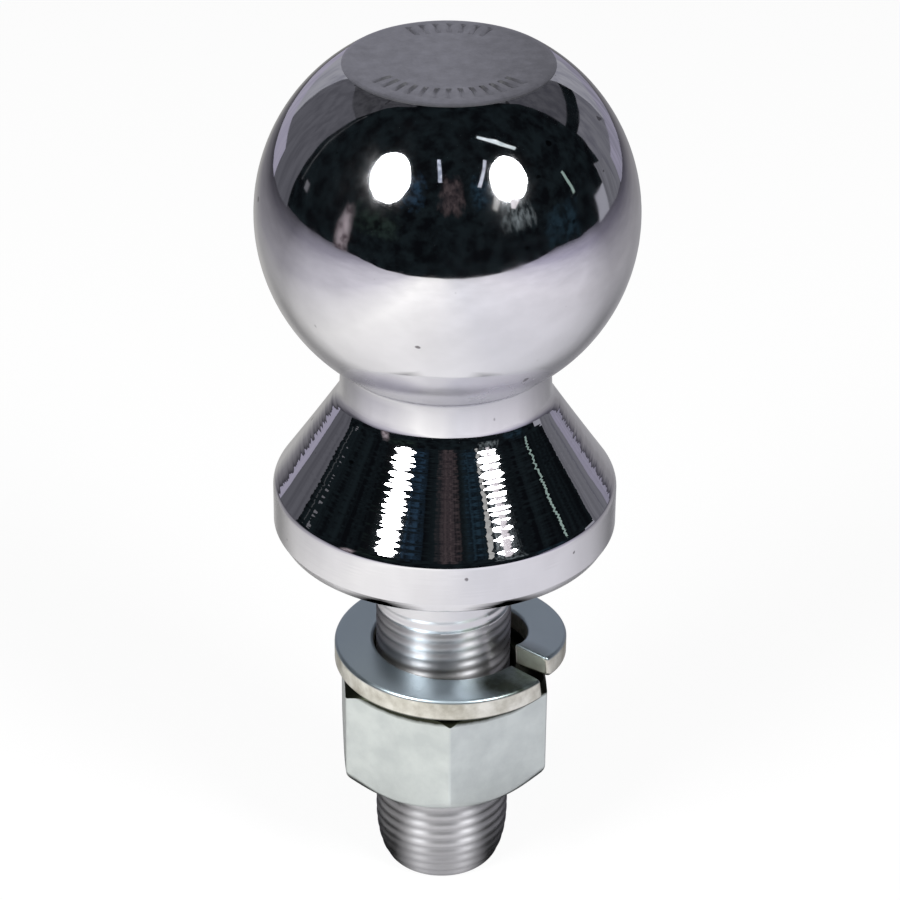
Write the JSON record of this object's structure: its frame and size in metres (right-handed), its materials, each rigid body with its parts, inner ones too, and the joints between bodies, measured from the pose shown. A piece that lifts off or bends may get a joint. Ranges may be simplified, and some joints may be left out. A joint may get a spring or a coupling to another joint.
{
  "type": "threaded tow ball",
  "caption": "Chrome tow ball with a tapered collar and a threaded shank, carrying a split spring washer and a hex nut.",
  "frame": {"origin": "centre of the shank's flat lower end", "axes": "+Z along the thread's axis, up towards the ball; -Y is the side that a hexagon corner of the nut faces"},
  "size_m": [0.0508, 0.0508, 0.1244],
  "materials": {
    "chrome": "bright chrome plate on the ball and collar, plain steel thread on the shank",
    "washer_zinc": "bluish zinc plate on spring steel",
    "nut_zinc": "pale zinc plate"
  },
  "bodies": {
    "ball": {"ball_stud": "chrome"},
    "washer": {"spring_washer": "washer_zinc"},
    "nut": {"hex_nut": "nut_zinc"}
  },
  "joints": [
    {"name": "washer_slide", "type": "slide", "parent": "ball", "child": "washer", "axis": [0, 0, 1], "range_m": [-0.0165, 0.0152]},
    {"name": "nut_turn", "type": "hinge", "parent": "washer", "child": "nut", "pos_m": [0, 0, 0.02475], "axis": [0, 0, 1], "range_deg": [-3740, 3440]}
  ],
  "couplings": [
    {"joint": "washer_slide", "follows": "nut_turn", "m_per_rad": 0.00025266}
  ]
}
